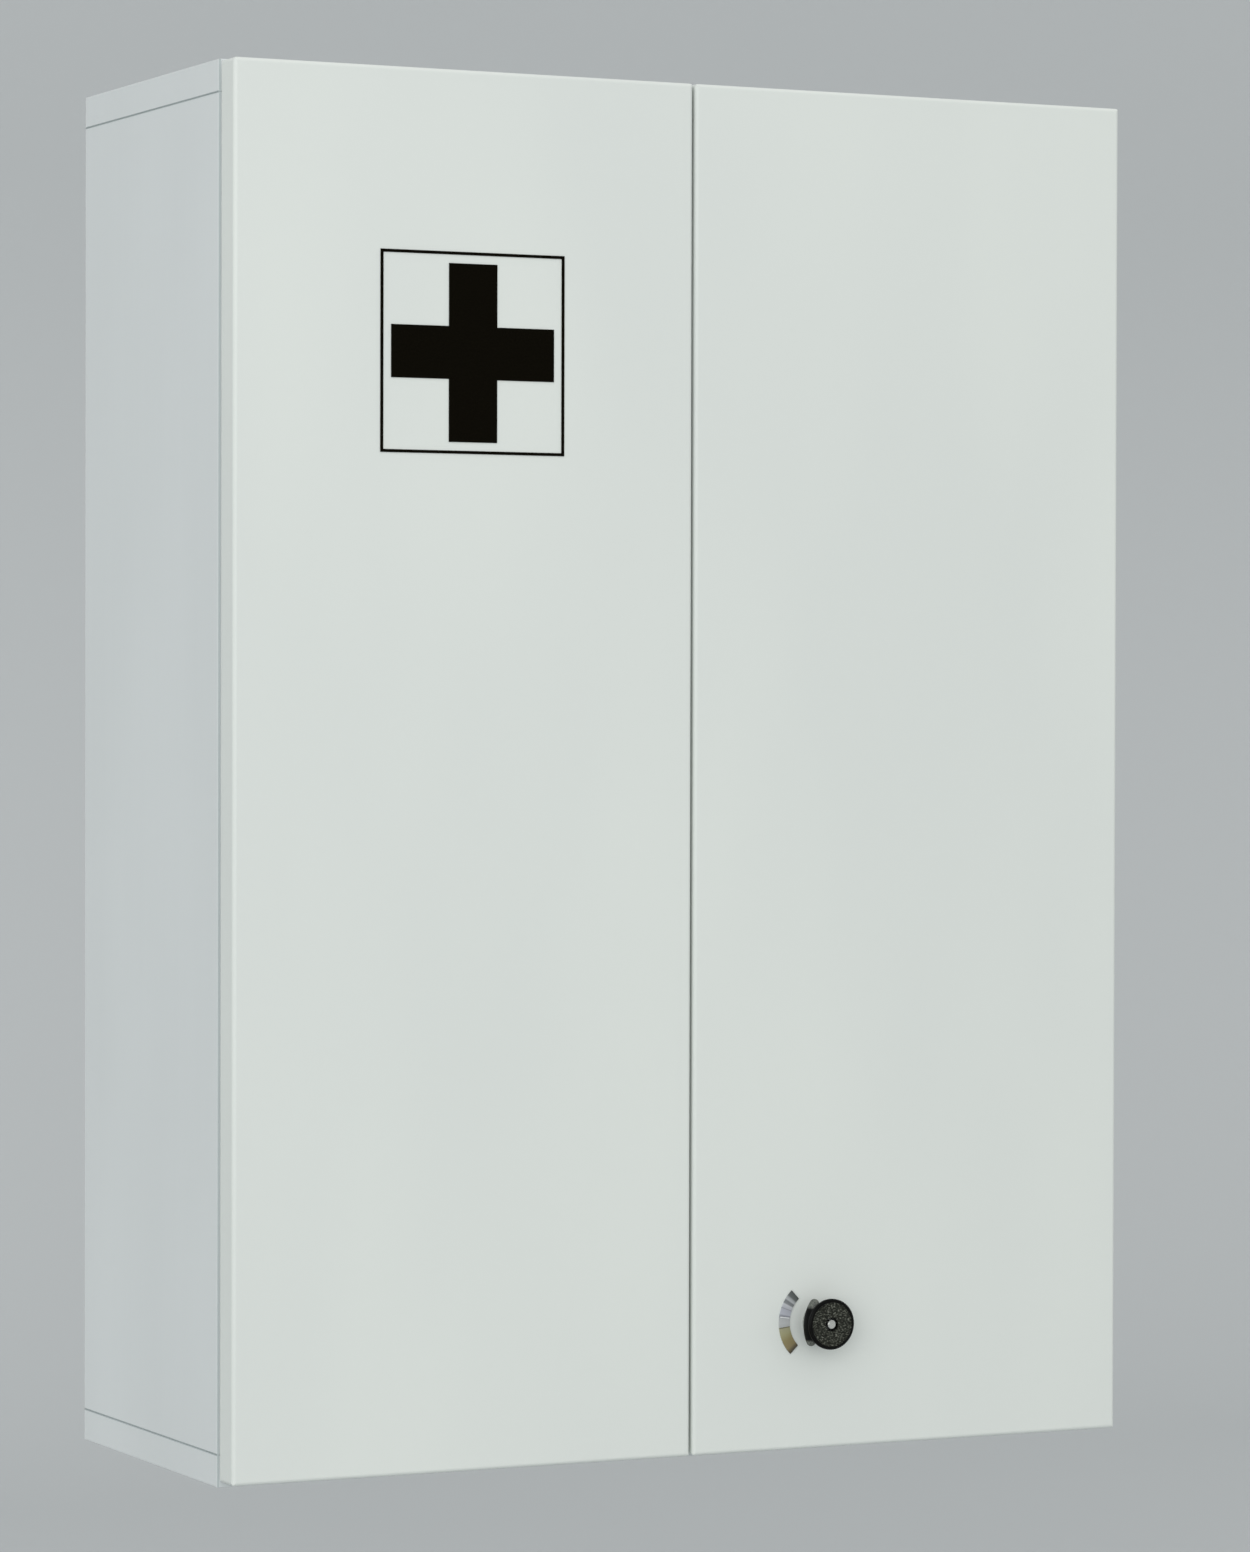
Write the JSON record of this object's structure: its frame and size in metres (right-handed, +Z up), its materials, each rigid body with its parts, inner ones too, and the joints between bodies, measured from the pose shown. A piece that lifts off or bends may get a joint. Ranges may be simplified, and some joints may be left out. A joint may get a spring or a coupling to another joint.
{
  "type": "lockable medicine cabinet",
  "caption": "Wall-hung medicine cabinet with full-overlay doors on concealed hinges, a knob lock with a turning tongue and scale, a slide bolt and adjustable shelves.",
  "frame": {"origin": "in the wall plane, midway between the two hanging holes", "axes": "+X to the right along the front, +Y into the wall, +Z up; the doors face -Y"},
  "size_m": [0.5, 0.226, 0.7],
  "materials": {
    "white_board": "satin white lacquer on board",
    "back_board": "white faced hardboard",
    "beech": "raw beech",
    "nickelled_steel": "nickel plated",
    "zinc_screw": "bright zinc",
    "cast_cam": "die cast",
    "dark_steel": "plain steel",
    "bright_steel": "polished steel",
    "black_film": "black film",
    "black_knob": "fine textured black",
    "soft_pad": "clear soft plastic",
    "scale_silver": "brushed",
    "scale_pale": "matt",
    "scale_brass": "dull"
  },
  "bodies": {
    "carcass": {"side_panel_left": "white_board", "side_panel_right": "white_board", "top_panel": "white_board", "bottom_panel": "white_board", "back_panel": "back_board", "upper_shelf": "white_board", "lower_shelf": "white_board", "shelf_pins": "nickelled_steel", "carcass_dowels": "beech", "corner_cams": "cast_cam", "corner_cam_bolts": "dark_steel", "hanging_brackets": "nickelled_steel", "hanging_bracket_screws": "zinc_screw", "left_hinge_plates": "nickelled_steel", "right_hinge_plates": "nickelled_steel", "hinge_plate_screws": "zinc_screw", "left_hinge_arms": "nickelled_steel", "right_hinge_arms": "nickelled_steel", "hinge_arm_screws": "zinc_screw", "lock_strike": "nickelled_steel", "lock_strike_screws": "zinc_screw", "bolt_keeper": "nickelled_steel", "bolt_keeper_screws": "zinc_screw"},
    "left_door": {"left_door_panel": "white_board", "left_hinge_cups": "nickelled_steel", "left_hinge_pins": "dark_steel", "left_cup_screws": "zinc_screw", "sign_frame": "black_film", "sign_cross": "black_film", "left_door_bumpers": "soft_pad", "slide_bolt_housing": "nickelled_steel", "slide_bolt_housing_screws": "zinc_screw"},
    "right_door": {"right_door_panel": "white_board", "right_hinge_cups": "nickelled_steel", "right_hinge_pins": "dark_steel", "right_cup_screws": "zinc_screw", "right_door_bumpers": "soft_pad", "lock_barrel": "nickelled_steel", "lock_barrel_nut": "nickelled_steel", "scale_silver_zone": "scale_silver", "scale_centre_block": "scale_pale", "scale_brass_zone": "scale_brass"},
    "knob": {"lock_knob": "black_knob", "lock_spindle": "dark_steel", "lock_tongue": "nickelled_steel", "lock_tongue_screw": "zinc_screw"},
    "key": {"key_core": "bright_steel"},
    "bolt": {"slide_bolt": "bright_steel", "slide_bolt_grip": "bright_steel"}
  },
  "joints": [
    {"name": "left_door_swing", "type": "hinge", "parent": "carcass", "child": "left_door", "pos_m": [-0.243, -0.2025, -0.29], "axis": [0, 0, -1], "range_deg": [0, 100]},
    {"name": "right_door_swing", "type": "hinge", "parent": "carcass", "child": "right_door", "pos_m": [0.243, -0.2025, -0.29], "axis": [0, 0, 1], "range_deg": [0, 100]},
    {"name": "knob_turn", "type": "hinge", "parent": "right_door", "child": "knob", "pos_m": [0.0724, -0.21, -0.5718], "axis": [0, -1, 0], "range_deg": [0, 90]},
    {"name": "key_turn", "type": "hinge", "parent": "knob", "child": "key", "pos_m": [0.0724, -0.22, -0.5718], "axis": [0, -1, 0], "range_deg": [0, 90]},
    {"name": "bolt_slide", "type": "slide", "parent": "left_door", "child": "bolt", "axis": [0, 0, -1], "range_m": [0, 0.014]}
  ]
}
